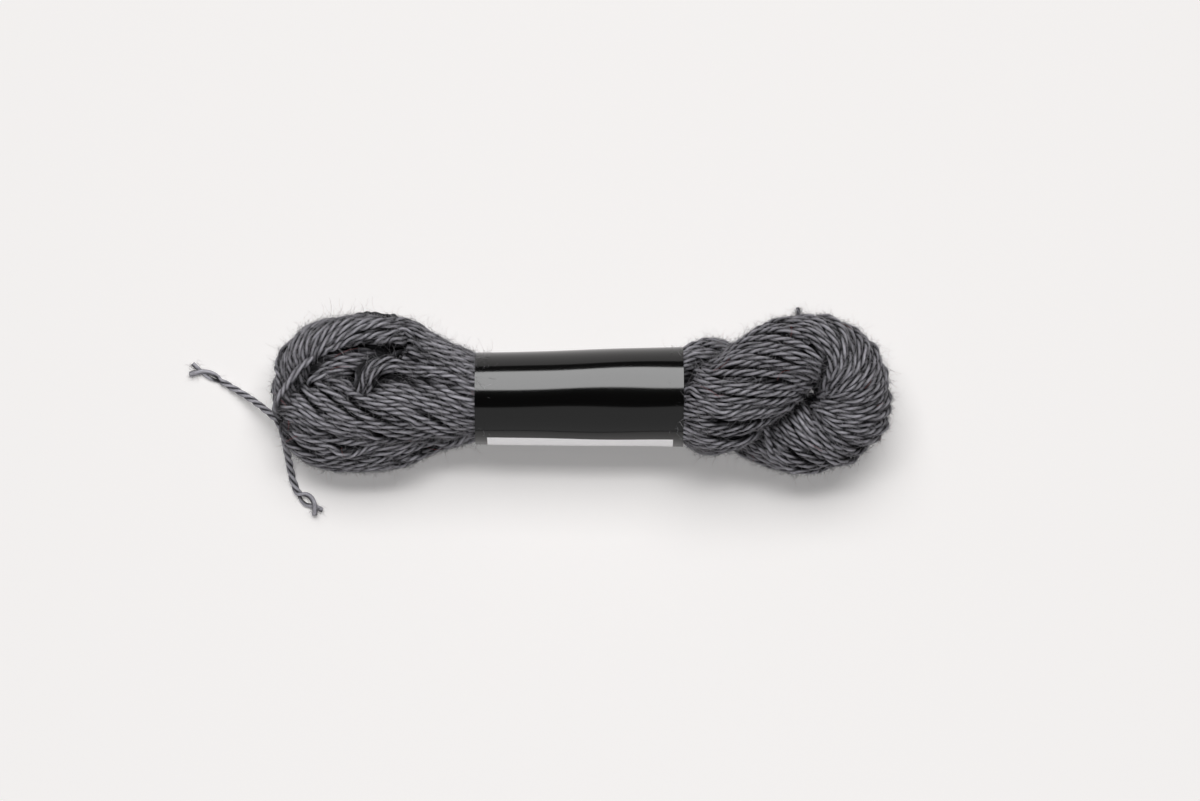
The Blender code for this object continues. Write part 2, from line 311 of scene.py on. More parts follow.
def silk_material(name, dark, light):
    """Silk thread: a painted highlight on the crest of each ply and painted shade where it is hidden
    from the light, with fine fibres along it and a soft sheen.
    """
    sheen = {"Sheen Weight": 0.12, "Sheen Roughness": 0.4, "Sheen Tint": (0.6, 0.6, 0.64, 1.0)}
    material = new_material(name, {"Specular IOR Level": 0.16, **sheen})
    tree = material.node_tree
    uv = node(tree, "ShaderNodeUVMap", uv_map="thread")

    def streaks(stretch, detail):
        stretched = node(tree, "ShaderNodeMapping", {"Vector": uv, "Scale": stretch})
        return node(tree, "ShaderNodeTexNoise", {"Vector": stretched, "Scale": 1.0, "Detail": detail})

    crest, shade, openness = (attribute(tree, name) for name in ("crest", "shade", "open"))
    fibres = streaks((24.0, 1.6, 1.0), 3.0)
    patches = streaks((3.0, 0.35, 1.0), 2.0)
    of_place = crest**CREST_SHAPE * CREST_HIGHLIGHT + fibres * FIBRE_LIGHT + patches * PATCH_LIGHT
    # The openness darkens the colour as painted shade, where threads stand above a place and on the
    # side of a thread that faces into the hank.
    tone = (of_place + shade * SHADE_LIGHT - DARKER) * openness
    mixed(tree, tone, dark, light).feed("Base Color")
    (DULL - tone * GLOSSIER).feed("Roughness")
    relief = {"Strength": 0.6, "Distance": 0.08 * MM, "Height": fibres}
    node(tree, "ShaderNodeBump", relief).feed("Normal")
    return material


SILK = silk_material("silk thread", (0.005, 0.0048, 0.0056, 1.0), (0.408, 0.397, 0.436, 1.0))

# ------------------------------------------------------------
# The tie is a short end of the same thread, knotted round the hank where its two ends meet. Its
# free ends come down from the knot and lie on the surface, cut off plain. Each of its three plies
# is a tube of its own, wound round the tie's line, and the plies come apart at both ends.
# ------------------------------------------------------------
TIE_ROUTE = [
    (-73.7, 4.35, 0.6),
    (-71.6, 3.75, 0.6),
    (-69.0, 2.6, 0.6),
    (-66.4, 1.1, 0.8),
    (-63.8, -0.4, 1.7),
    (-61.4, -1.9, 3.2),
    (-59.2, -3.5, 4.8),
    (-57.2, -5.2, 6.1),
    (-56.3, -6.8, 6.4),
    (-55.8, -8.8, 5.4),
    (-55.5, -11.0, 3.6),
    (-55.2, -13.2, 1.9),
    (-54.9, -15.2, 0.9),
    (-54.4, -17.2, 0.7),
    (-53.5, -19.0, 0.7),
    (-52.0, -20.2, 0.7),
    (-50.7, -21.3, 0.7),
    (-49.8, -22.6, 0.7),
]
TIE_PITCH = 6.3
TIE_STEP = 0.3
PLY_CORNERS = 9
PLY_OFFSET = 1.15

# Between these shares of its length its plies grow thicker. Towards its tips they swell, and their
# sides get less painted shade, as they are open to the light from above.
GROWTH, PLY_RADII = (0.35, 0.6), (0.31, 0.34)
TIP_LENGTH, TIP_SWELL, TIP_ROUNDNESS, TIP_LIGHT = 5.0, 0.35, 0.6, 0.8

# At each end the plies lie flat: the last stretch is a fork, and the one before it a loop. One
# ply lies on one side and two on the other, each with its own shift and height.
End = namedtuple("End", "fork fork_reach loop loop_reach")
TIE_ENDS = (End(2.0, 1.05, 4.4, 0.5), End(1.3, 0.85, 4.0, 0.9))
FlatPly = namedtuple("FlatPly", "side shift height")
FLAT_PLIES = (FlatPly(1, 0.0, 0.9), FlatPly(-1, 0.12, 0.2), FlatPly(-1, -0.12, -0.9))


def round_section(corners):
    """The section of a plain round tube."""
    return 2 * math.pi * np.arange(corners) / corners, np.ones(corners)


def twisted_plies(line, pitch, radii):
    """The lines of the three plies wound round a line. At both ends one ply leaves the other two,
    crosses them once and ends apart from them."""
    across, up = line_frames(line)
    along = travelled(line)
    made = []
    for k, flat in enumerate(FLAT_PLIES):
        angle = 2 * math.pi * (k / PLIES - along / pitch)
        sideways = np.cos(angle) * radii * PLY_OFFSET
        upwards = np.sin(angle) * radii * PLY_OFFSET
        for end, left in zip(TIE_ENDS, (along, along[-1] - along)):
            fork = -end.fork_reach * np.clip(1 - left / end.fork, 0, 1)
            loop_place = np.clip((left - end.fork) / end.loop, 0, 1)
            spread = fork + end.loop_reach * np.sin(math.pi * loop_place)
            opened = np.clip(end.fork + end.loop - left, 0, 1)
            sideways = sideways * (1 - opened) + (flat.side * spread + flat.shift) * opened
            upwards = upwards * (1 - opened) + flat.height * radii * opened
        ply = line + across * sideways[:, None] + up * upwards[:, None]
        ply[:, 2] = np.maximum(ply[:, 2], radii)
        made.append(ply)
    return made


tie_line = even_line(smooth_line(TIE_ROUTE, TIE_STEP), TIE_STEP)
tie_places = np.arange(len(tie_line))
from_tip = np.minimum(tie_places, tie_places[::-1]) * TIE_STEP
ply_radii = np.interp(tie_places / len(tie_line), GROWTH, PLY_RADII)
ply_radii = ply_radii * (1 + TIP_SWELL * np.clip(1 - from_tip / TIP_LENGTH, 0, 1) ** TIP_ROUNDNESS)
tie_plies = twisted_plies(tie_line, TIE_PITCH, ply_radii)
tie_strands = Strands()
for ply in tie_plies:
    # Each ply gets painted shade on the side that faces the tie's middle, and the whole ply the
    # crest's painted highlight.
    outward = ply - tie_line
    outward[:, 2] += TIP_LIGHT * np.clip(TIP_LENGTH - from_tip, 0, 1)
    outward /= np.maximum(np.linalg.norm(outward, axis=1), 0.05)[:, None]
    looks = {"taper": ply_radii, "outward": outward, "crest": 1.0}
    tie_strands.add(ply, 1.0, round_section(PLY_CORNERS), **looks)
tie = tie_strands.make_object("tie_thread")
tie.data.materials.append(SILK)
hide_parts("tie")
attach(tie, "root")

# ------------------------------------------------------------
# The hank is thirty yards of the thread in sixty turns, twisted, folded in half at the right end
# and left to ply round itself. Here it is seven bundles of threads, each laid along its own row
# of ovals.
# ------------------------------------------------------------

# An oval's middle, half its width and height, and the degrees that the threads turn round it in
# each millimetre, positive for a Z twist.
Section = namedtuple("Section", "x y z across tall twist")
FOLDED_ROPE = [
    Section(12.0, -2.8, 11.6, 4.2, 4.8, 2.0),
    Section(18.3, -3.3, 12.6, 4.9, 5.6, 2.5),
    Section(20.2, -3.5, 13.2, 6.4, 6.2, 3.0),
    Section(22.2, -3.6, 13.8, 7.8, 6.6, 3.4),
    Section(25.2, -2.8, 14.8, 8.3, 6.8, 8.2),
    Section(28.3, -0.6, 15.6, 7.9, 6.8, 9.0),
    Section(32.2, 2.5, 15.8, 7.8, 6.8, 8.5),
    Section(36.2, 5.5, 15.2, 7.5, 7.0, 10.0),
    Section(40.6, 7.2, 14.4, 6.9, 7.4, 14.0),
    Section(44.4, 7.6, 13.5, 6.5, 7.8, 50.0),
    Section(47.3, 6.2, 12.6, 6.4, 8.0, 120.0),
    Section(49.4, 3.6, 11.7, 6.4, 8.1, 130.0),
    Section(50.2, 0.3, 10.8, 6.5, 8.1, 110.0),
    Section(49.7, -3.2, 10.0, 7.5, 8.1, 110.0),
    Section(47.9, -6.2, 9.2, 7.1, 8.1, 80.0),
    Section(44.5, -7.6, 8.4, 6.6, 8.0, 26.0),
    Section(40.8, -8.1, 7.9, 7.2, 7.7, 10.0),
    Section(37.2, -7.0, 7.4, 7.6, 7.3, 6.0),
    Section(33.6, -4.9, 6.9, 8.0, 7.0, 4.0),
    Section(30.0, -2.3, 6.5, 8.2, 6.7, 2.5),
    Section(26.4, 0.7, 6.7, 7.8, 6.8, 2.5),
    Section(22.8, 3.0, 8.0, 7.0, 6.8, 2.5),
    Section(18.3, 3.8, 9.3, 5.6, 6.6, 2.0),
    Section(12.0, 3.0, 9.8, 4.6, 5.6, 1.0),
]
BELLY = [
    Section(-14.0, -1.1, 11.6, 5.4, 5.2, 4.0),
    Section(-20.0, -1.0, 12.0, 6.4, 5.6, 4.6),
    Section(-24.8, -1.0, 12.2, 7.0, 6.4, 7.2),
    Section(-30.4, -1.6, 12.0, 7.2, 6.8, 7.0),
    Section(-35.9, -2.0, 11.6, 7.1, 6.8, 3.8),
    Section(-41.5, -2.0, 11.0, 7.0, 6.7, 6.0),
    Section(-46.6, -1.9, 10.3, 6.8, 6.5, 6.4),
    Section(-50.9, -2.0, 9.4, 6.2, 6.0, 14.0),
    Section(-53.3, -2.4, 8.7, 4.9, 5.0, 14.0),
    Section(-54.9, -2.8, 8.2, 3.0, 3.2, 14.0),
    Section(-55.7, -3.0, 7.9, 1.0, 1.2, 12.0),
]
HEM = [
    Section(-14.0, -3.0, 8.6, 4.0, 4.4, 0.5),
    Section(-20.0, -3.4, 8.2, 5.0, 5.2, 0.5),
    Section(-24.8, -3.9, 6.9, 6.1, 6.3, 0.8),
    Section(-30.4, -4.5, 6.2, 7.1, 6.2, 1.0),
    Section(-35.9, -5.5, 6.6, 8.5, 6.4, 0.6),
    Section(-41.5, -5.8, 6.8, 8.9, 6.6, 0.7),
    Section(-46.6, -5.5, 6.8, 8.7, 6.5, -0.3),
    Section(-50.8, -4.9, 6.9, 7.8, 6.1, 0.5),
    Section(-53.1, -4.3, 7.0, 5.8, 5.2, 1.0),
    Section(-54.8, -3.8, 7.4, 3.2, 3.6, 1.0),
    Section(-55.6, -3.6, 7.5, 1.0, 1.2, 1.0),
]
TONGUE = [
    Section(-14.0, 1.0, 9.4, 4.4, 4.8, 1.6),
    Section(-20.0, 1.7, 9.2, 5.2, 5.8, 1.6),
    Section(-25.6, 3.0, 8.6, 5.6, 6.9, 2.2),
    Section(-30.4, 4.0, 8.0, 6.2, 7.6, 4.0),
    Section(-35.9, 4.5, 8.2, 6.6, 8.1, 7.0),
    Section(-41.5, 4.6, 8.2, 6.8, 8.0, 2.4),
    Section(-46.6, 4.2, 7.9, 6.8, 7.8, 2.2),
    Section(-50.8, 2.6, 7.4, 6.4, 6.9, 1.6),
    Section(-53.4, 0.9, 7.5, 5.2, 5.8, 1.2),
    Section(-55.2, 0.0, 7.7, 2.8, 3.6, 0.8),
    Section(-56.0, -0.6, 7.7, 1.0, 1.4, 0.8),
]
ARCH = [
    Section(-14.0, 1.0, 13.0, 2.2, 2.4, 1.5),
    Section(-20.0, 1.6, 15.4, 2.8, 2.4, 2.5),
    Section(-24.0, 3.0, 16.2, 2.5, 2.2, 3.5),
    Section(-29.3, 4.5, 16.4, 1.2, 1.8, 3.5),
    Section(-34.0, 5.4, 16.3, 0.7, 1.4, 2.5),
    Section(-37.1, 5.1, 16.5, 0.6, 1.3, 1.5),
    Section(-39.2, 3.7, 16.9, 0.6, 1.3, 1.5),
    Section(-40.3, 2.0, 16.9, 0.6, 1.3, 1.5),
    Section(-40.9, 0.4, 16.0, 0.6, 1.2, 1.5),
    Section(-41.2, -1.0, 13.4, 0.6, 1.2, 1.5),
    Section(-41.2, -2.0, 10.4, 0.6, 1.2, 1.5),
]
ROLL = [
    Section(-29.4, 5.6, 6.4, 1.6, 3.0, -3.0),
    Section(-29.9, 7.4, 9.0, 1.8, 4.0, -3.5),
    Section(-31.3, 8.6, 11.0, 1.6, 4.8, -4.0),
    Section(-34.6, 10.2, 11.8, 1.9, 5.5, -4.5),
    Section(-39.3, 11.3, 12.0, 2.75, 5.9, -5.0),
    Section(-44.3, 11.0, 11.8, 3.0, 6.0, -5.8),
    Section(-49.1, 9.5, 11.4, 3.3, 5.9, -6.2),
    Section(-52.1, 6.4, 10.8, 3.4, 5.6, -6.0),
    Section(-53.4, 2.8, 9.8, 2.9, 5.0, -4.5),
    Section(-54.3, -1.0, 8.9, 2.2, 4.2, -3.0),
    Section(-54.3, -4.4, 8.4, 1.6, 3.0, -3.0),
]
SHOULDER = [
    Section(-14.0, 1.4, 13.0, 3.0, 3.4, 0.5),
    Section(-20.0, 2.0, 13.6, 3.3, 3.7, 0.5),
    Section(-24.0, 4.1, 14.0, 3.8, 4.1, 0.5),
    Section(-27.6, 6.5, 14.0, 3.8, 4.3, 0.0),
    Section(-31.0, 9.0, 12.8, 2.3, 3.9, -0.5),
    Section(-34.4, 10.4, 10.6, 1.6, 3.4, -1.5),
    Section(-37.4, 10.8, 8.4, 1.4, 2.8, -2.0),
    Section(-41.0, 11.0, 7.0, 1.2, 2.2, -2.0),
]
BUNDLES = {
    "rope": FOLDED_ROPE,
    "belly": BELLY,
    "arch": ARCH,
    "hem": HEM,
    "tongue": TONGUE,
    "roll": ROLL,
    "shoulder": SHOULDER,
}

# The band holds the hank to these ovals.
Waist = namedtuple("Waist", "x y z across tall")
WAIST = [
    Waist(-24.0, -1.1, 10.3, 6.9, 7.3),
    Waist(-20.6, -1.2, 10.3, 7.13, 7.5),
    Waist(-10.0, -1.1, 10.4, 7.4, 7.6),
    Waist(8.0, -1.0, 10.5, 7.8, 7.8),
    Waist(18.9, -0.9, 10.6, 7.96, 8.0),
]
BAND_LEFT, BAND_RIGHT = -20.0, 18.3

# Creases and hollows between groups of threads: the middle and the half sizes of each.
DENTS = np.array(
    [
        (-42.2, 2.5, 16.5, 1.0, 2.2, 4.0),
        (-42.9, -1.1, 17.6, 1.9, 0.8, 1.8),
        (-29.4, -5.8, 17.0, 1.7, 0.45, 1.6),
        (-45.6, 7.8, 15.5, 1.9, 0.35, 3.5),
        (-42.4, 8.5, 15.5, 2.0, 0.35, 3.5),
        (-39.2, 9.0, 15.5, 2.0, 0.4, 3.5),
        (-36.4, 9.3, 15.5, 1.8, 0.5, 3.5),
        (-34.0, 9.4, 15.5, 1.6, 0.7, 4.5),
        (-32.3, 8.8, 16.0, 1.3, 1.0, 5.0),
        (-31.2, 7.8, 16.0, 1.1, 1.3, 5.5),
        (-30.6, 6.8, 16.0, 1.0, 1.0, 5.0),
        (29.8, -10.5, 12.0, 1.1, 1.0, 4.5),
        (31.8, -8.8, 13.0, 1.1, 1.0, 4.5),
        (33.7, -7.1, 13.5, 1.1, 1.0, 4.5),
        (35.6, -5.4, 14.0, 1.1, 1.0, 4.5),
        (37.5, -3.8, 14.5, 1.1, 1.0, 4.5),
        (39.4, -2.3, 15.0, 1.4, 1.4, 4.5),
        (41.2, -0.8, 16.0, 1.4, 1.4, 4.5),
        (42.6, 1.1, 17.5, 1.3, 1.4, 4.0),
        (43.6, 3.3, 19.0, 1.2, 1.4, 3.0),
        (44.2, 5.5, 20.4, 1.0, 1.2, 2.2),
    ]
)

LAY_STEP = 0.3
Lay = namedtuple("Lay", "middle along side up across tall turned spacing travelled")


def lay_of(sections):
    """A bundle's sections a step apart, with their directions and how far the twist has gone."""
    rows = smooth_line(sections, LAY_STEP)
    middle = rows[:, :3]
    across, tall, twist = rows[:, 3:].T
    along = unit_rows(np.gradient(middle, axis=0))
    side = unit_rows(np.cross(along, (0.0, 0.0, 1.0)))
    up = np.cross(side, along)
    step = np.linalg.norm(np.diff(middle, axis=0), axis=1)
    turned = -np.radians(np.concatenate([[0.0], np.cumsum(step * twist[1:])]))
    slope = np.radians(np.abs(twist)) * (across + tall) / 2
    spacing = math.pi * (across + tall) / np.sqrt(1 + slope**2)
    return Lay(middle, along, side, up, across, tall, turned, spacing, travelled(middle))


SINES, SHORTEST_SINE, SINE_SIZE = 3, 0.35, 0.6


def slow_wave(along, longest, size):
    """A slow random wave along a line, made of a few sines."""
    wave = np.zeros(len(along))
    for _ in range(SINES):
        length = RNG.uniform(longest * SHORTEST_SINE, longest)
        wave += np.sin(2 * math.pi * along / length + RNG.uniform(0, 2 * math.pi))
    return wave * size * SINE_SIZE


# Threads wander a little round their bundle and in and out of it, and those that ride over the
# others more so. Where a bundle narrows, or turns faster, some threads sink below the others.
RUN_STEP = 0.6
GOLDEN_RATIO = 0.618034
SINK_SOFTNESS = 0.18
UNEVEN_SPACING = 0.2
RIDING_SHARE, RIDING_LIFT, RIDING_DRIFT = 0.25, 0.25, 0.7
DRIFT_LENGTH, DRIFT = 24.0, 0.25
LIFT_LENGTH, LIFT = 14.0, 0.14
THINNEST = 0.3


def bundle_threads(lay, inset):
    """A bundle's outer threads, inset below its surface, as rows: x, y, z, how far sunk, which
    way is outward, and how far along the bundle."""
    size = (lay.across + lay.tall) / 2
    count = int(lay.spacing.max() / THREAD)
    share = lay.spacing / (count * THREAD)
    lines = []
    for j in range(count):
        rank = (j * GOLDEN_RATIO) % 1.0
        sink = THREAD * np.clip((rank - share) / SINK_SOFTNESS + 0.5, 0.0, 1.0)
        rides = float(RNG.random() < RIDING_SHARE)
        drift = slow_wave(lay.travelled, DRIFT_LENGTH, DRIFT + RIDING_DRIFT * rides) / size
        lift = slow_wave(lay.travelled, LIFT_LENGTH, LIFT) + RIDING_LIFT * rides
        place = j + RNG.uniform(-UNEVEN_SPACING, UNEVEN_SPACING)
        angle = 2 * math.pi * place / count + lay.turned + drift
        below = -THREAD / 2 - inset - sink + lift
        reach_side = np.maximum(lay.across + below, THINNEST) * np.cos(angle)
        reach_up = np.maximum(lay.tall + below, THINNEST) * np.sin(angle)
        outward = lay.side * reach_side[:, None] + lay.up * reach_up[:, None]
        rows = np.column_stack([lay.middle + outward, sink, outward, lay.travelled])
        lines.append(even_line(smooth_line(rows, LAY_STEP), RUN_STEP))
    return lines


# A bundle hides its own threads only from SAME_BUNDLE further along, where it has come back.
RING_EVERY = 4
SAME_BUNDLE = 16.0
OUTSIDE = -9.0


def depth_in(points, lay, own_place=None):
    """How deep each point lies below a bundle's surface, in millimetres; negative outside it."""
    deepest = np.full(len(points), OUTSIDE)
    for k in range(0, len(lay.middle), RING_EVERY):
        offset = points - lay.middle[k]
        sideways, upwards = offset @ lay.side[k], offset @ lay.up[k]
        share = np.sqrt((sideways / lay.across[k]) ** 2 + (upwards / lay.tall[k]) ** 2)
        depth = (1 - share) * min(lay.across[k], lay.tall[k])
        level = np.abs(offset @ lay.along[k]) < RING_EVERY * LAY_STEP
        if own_place is not None:
            level &= np.abs(own_place - lay.travelled[k]) > SAME_BUNDLE
        deepest = np.where(level, np.maximum(deepest, depth), deepest)
    return deepest


# Beside the band the threads spring out at once by SPRING, and then flare evenly.
SLACK = 0.45
SPRING, SPRING_LENGTH = 0.3, 0.9
FLARE, FLARE_LENGTH = 0.5, 10.0
DENT_SOFTNESS = 0.5


def squeezed(points):
    """The points drawn in to where the band, the flare beside it and the dents let them be."""
    points = points.copy()
    x = points[:, 0]
    waist = np.array(WAIST)
    y0, z0, across, tall = (np.interp(x, waist[:, 0], column) for column in waist[:, 1:].T)
    off = np.maximum(0.0, np.maximum(BAND_LEFT - x, x - BAND_RIGHT))
    slack = SLACK + SPRING * (1 - np.exp(-off / SPRING_LENGTH)) + FLARE * off
    y, z = points[:, 1] - y0, points[:, 2] - z0
    share = np.sqrt((y / (across + slack)) ** 2 + (z / (tall + slack)) ** 2)
    pulled = (share > 1.0) & (off < FLARE_LENGTH)
    pull = np.where(pulled, 1.0 / np.maximum(share, 1e-6), 1.0)
    points[:, 1] = y0 + y * pull
    points[:, 2] = z0 + z * pull
    for dent in DENTS:
        offset = points - dent[:3]
        near = np.maximum(np.linalg.norm(offset / dent[3:], axis=1), 0.05)
        push = np.where(near < 1.0, 1.0 / near, 1.0)[:, None] ** DENT_SOFTNESS
        points = dent[:3] + offset * push
    points[:, 2] = np.maximum(points[:, 2], THREAD / 2)
    return points


def joined(lines):
    """The rows of all lines in one table, and the number of the line that each belongs to."""
    owner = np.repeat(np.arange(len(lines)), [len(line) for line in lines])
    return np.concatenate(lines), owner


def split_as(lines, rows):
    """The rows of one table as pieces that are as long as the lines."""
    return np.split(rows, np.cumsum([len(line) for line in lines])[:-1])


SHORTEST_RUN = 5


def visible_runs(line, shown):
    """The stretches of a line whose points are shown, if they aren't too short, without the last
    column."""
    edges = np.flatnonzero(np.diff(np.concatenate([[False], shown, [False]]).astype(int)))
    return [line[a:b, :7] for a, b in zip(edges[::2], edges[1::2]) if b - a >= SHORTEST_RUN]


def close_pairs(points, owner, reach):
    """Pairs of points of different threads that are nearer than reach."""
    span = 1000  # cells along each side of a space around the hank
    cell = np.floor(points / reach).astype(np.int64) + span // 2
    key = (cell[:, 0] * span + cell[:, 1]) * span + cell[:, 2]
    order = np.argsort(key, kind="stable")
    ordered = key[order]
    firsts, seconds = [], []
    for shift in np.ndindex(3, 3, 3):
        dx, dy, dz = np.array(shift) - 1
        wanted = key + (dx * span + dy) * span + dz
        low = np.searchsorted(ordered, wanted, "left")
        high = np.searchsorted(ordered, wanted, "right")
        for k in range(int((high - low).max(initial=0))):
            i = np.nonzero(high - low > k)[0]
            j = order[low[i] + k]
            keep = (i < j) & (owner[i] != owner[j])
            i, j = i[keep], j[keep]
            near = ((points[i] - points[j]) ** 2).sum(axis=1) < reach * reach
            firsts.append(i[near])
            seconds.append(j[near])
    return np.concatenate(firsts), np.concatenate(seconds)


# Threads touch at TOUCHING of their thickness. In each round a pair moves apart by PUSH of what it
# lacks, and each point back towards where it was laid and towards the middle of its neighbours.
ROUNDS, QUICK_ROUNDS = 28, 8
PAIRS_EVERY, PAIRS_REACH = 4, 1.3
TOUCHING, PUSH, LONGEST_PUSH = 0.92, 0.28, 0.3
BACK_HOME, STRAIGHTENED = 0.05, 0.25


def settle(lines, rounds):
    """Pushes threads out of each other, keeping each one smooth and near where it was laid."""
    rows, owner = joined(lines)
    points = rows[:, :3]
    home = points.copy()
    inside = 1 + np.flatnonzero((owner[1:-1] == owner[:-2]) & (owner[1:-1] == owner[2:]))
    for turn in range(rounds):
        if turn % PAIRS_EVERY == 0:
            i, j = close_pairs(points, owner, THREAD * PAIRS_REACH)
        offset = points[i] - points[j]
        distance = np.maximum(np.linalg.norm(offset, axis=1), 1e-4)
        lacking = np.maximum(THREAD * TOUCHING - distance, 0.0)
        shift = np.column_stack(
            [
                np.bincount(i, column, len(points)) - np.bincount(j, column, len(points))
                for column in (offset * (lacking * PUSH / distance)[:, None]).T
            ]
        )
        size = np.maximum(np.linalg.norm(shift, axis=1), 1e-9)
        points += shift * np.minimum(1.0, LONGEST_PUSH / size)[:, None]
        points += BACK_HOME * (home - points)
        between = (points[inside - 1] + points[inside + 1]) / 2
        points[inside] += STRAIGHTENED * (between - points[inside])
        points = squeezed(points)
    rows[:, :3] = points
    return split_as(lines, rows)


# Threads shade a place from SHADE_REACH away, if they stand more than SHADE_FROM above it.
SHADE_REACH = 3.6
SHADE_FROM, MOST_SHADE = 0.35, 1.2
SHADE_AMOUNT, SHADE_ONSET = 4.0, 1.5


def openness(lines):
    """How open each point is to the light: less so, the more threads stand above it close by."""
    rows, owner = joined(lines)
    outward = unit_rows(rows[:, 4:7])
    i, j = close_pairs(rows[:, :3], owner, SHADE_REACH)
    i, j = np.concatenate([i, j]), np.concatenate([j, i])
    offset = rows[j, :3] - rows[i, :3]
    above = (offset * outward[i]).sum(axis=1)
    near = 1 - np.linalg.norm(offset, axis=1) / SHADE_REACH
    shaded = np.bincount(i, np.clip(above - SHADE_FROM, 0.0, MOST_SHADE) * near, len(rows))
    return np.exp(-((shaded / SHADE_AMOUNT) ** SHADE_ONSET))


# Each bundle has two layers of threads, which are left out where the band, another bundle or
# their own neighbours hide them.
SECOND_LAYER = 1.1
HIDDEN_IN_BAND = 2.5
BURIED = 1.6
SUNK = 0.95
Run = namedtuple("Run", "bundle layer")

lays = {name: lay_of(sections) for name, sections in BUNDLES.items()}
thread_lines, thread_runs = [], []
for name, lay in lays.items():
    for layer, inset in enumerate((0.0, SECOND_LAYER)):
        lines = bundle_threads(lay, inset)
        rows, _ = joined(lines)
        rows[:, :3] = squeezed(rows[:, :3])
        place = rows[:, :3]
        left_of_band = place[:, 0] < BAND_LEFT + HIDDEN_IN_BAND
        right_of_band = place[:, 0] > BAND_RIGHT - HIDDEN_IN_BAND
        shown = (left_of_band | right_of_band) & (rows[:, 3] < SUNK * THREAD)
        for other, other_lay in lays.items():
            own_place = rows[:, 7] if other == name else None
            shown &= depth_in(place, other_lay, own_place) < BURIED
        for line, line_shown in zip(split_as(lines, rows), split_as(lines, shown)):
            for run in visible_runs(line, line_shown):
                thread_lines.append(run)
                thread_runs.append(Run(name, layer))

# One end of the tie goes up over the left end, on top of the threads there: x, y, and how far
# above them.
WRAP = [
    (-55.6, -4.0, -4.0),
    (-56.1, -3.0, -2.2),
    (-56.2, -1.9, -0.3),
    (-55.6, -0.4, 0.7),
    (-54.5, 1.2, 0.9),
    (-53.4, 2.8, 0.9),
    (-52.2, 4.4, 0.8),
    (-50.9, 5.8, 0.3),
    (-49.9, 6.8, -1.2),
]
TOP_REACH = 0.8
WRAP_OUTWARD = (-0.35, 0.2, 1.0)
EVENED = (0.25, 0.5, 0.25)
laid = np.concatenate(thread_lines)


def top_at(x, y):
    """The height of the hank's threads at a place."""
    near = np.hypot(laid[:, 0] - x, laid[:, 1] - y) < TOP_REACH
    return float(laid[near, 2].max(initial=0.0)) + THREAD / 2


wrap = [(x, y, top_at(x, y) + over) for x, y, over in WRAP]
heights = np.convolve([z for _, _, z in wrap[:1] + wrap + wrap[-1:]], EVENED, "valid")
wrap = [(x, y, max(z, even)) for (x, y, z), even in zip(wrap, heights)]
wrap_line = even_line(smooth_line(wrap, RUN_STEP / 2), RUN_STEP)
wrap_rows = np.zeros((len(wrap_line), 7))
wrap_rows[:, :3] = wrap_line
wrap_rows[:, 4:7] = WRAP_OUTWARD
thread_lines.append(wrap_rows)
thread_runs.append(Run("wrap", 0))

thread_lines = settle(thread_lines, ROUNDS)
for line, line_open in zip(thread_lines, split_as(thread_lines, openness(thread_lines))):
    line[:, 3] = line_open

# No two threads are alike in shade, twist and thickness, and the rope's threads are darker than
# the rest. The second layer, which lies below the first, is darker with painted shade, and plainer.
THREAD_STEP, UNDER_STEP = 0.5, 1.0
THREAD_SHADE, ROPE_SHADE, UNDER_SHADE = 0.36, 0.26, 0.5
SHADE_SPREAD, LIGHTEST = 0.16, 0.9
PITCH_RANGE, THICKNESS_RANGE = (0.93, 1.07), (0.96, 1.08)
PHASE_LENGTH, PHASE_WAVE = 16.0, 0.5
TAPER_LENGTH, TAPER_WAVE = 9.0, 0.04

for name in (*BUNDLES, "wrap", "under"):
    strands = Strands()
    usual_shade = ROPE_SHADE if name == "rope" else THREAD_SHADE
    for line, run in zip(thread_lines, thread_runs):
        if name != (run.bundle if run.layer == 0 else "under"):
            continue
        shade = float(np.clip(RNG.normal(usual_shade, SHADE_SPREAD), 0.0, LIGHTEST))
        step = THREAD_STEP if run.layer == 0 else UNDER_STEP
        rows = even_line(smooth_line(line, step / 2), step)
        route = rows[:, :3]
        # Painted shade: where threads stand close above it and on the side that faces into the hank,
        # a thread is darker.
        looks = {"exposed": np.clip(rows[:, 3], 0.0, 1.0), "outward": unit_rows(rows[:, 4:7])}
        if run.layer == 0:
            along = np.arange(len(rows)) * step
            phase = RNG.uniform(0, 2 * math.pi) + slow_wave(along, PHASE_LENGTH, PHASE_WAVE)
            pitch = PLY_PITCH * RNG.uniform(*PITCH_RANGE)
            radius = THREAD / 2 * RNG.uniform(*THICKNESS_RANGE)
            looks["taper"] = 1 + slow_wave(along, TAPER_LENGTH, TAPER_WAVE)
            strands.add(route, radius, thread_section(), pitch, shade, phase, **looks)
        else:
            shade *= UNDER_SHADE
            strands.add(route, THREAD / 2, thread_section(2), PLY_PITCH, shade, **looks)
    threads = strands.make_object(f"{name}_threads")
    threads.data.materials.append(SILK)
    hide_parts("hank")
    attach(threads, "root")

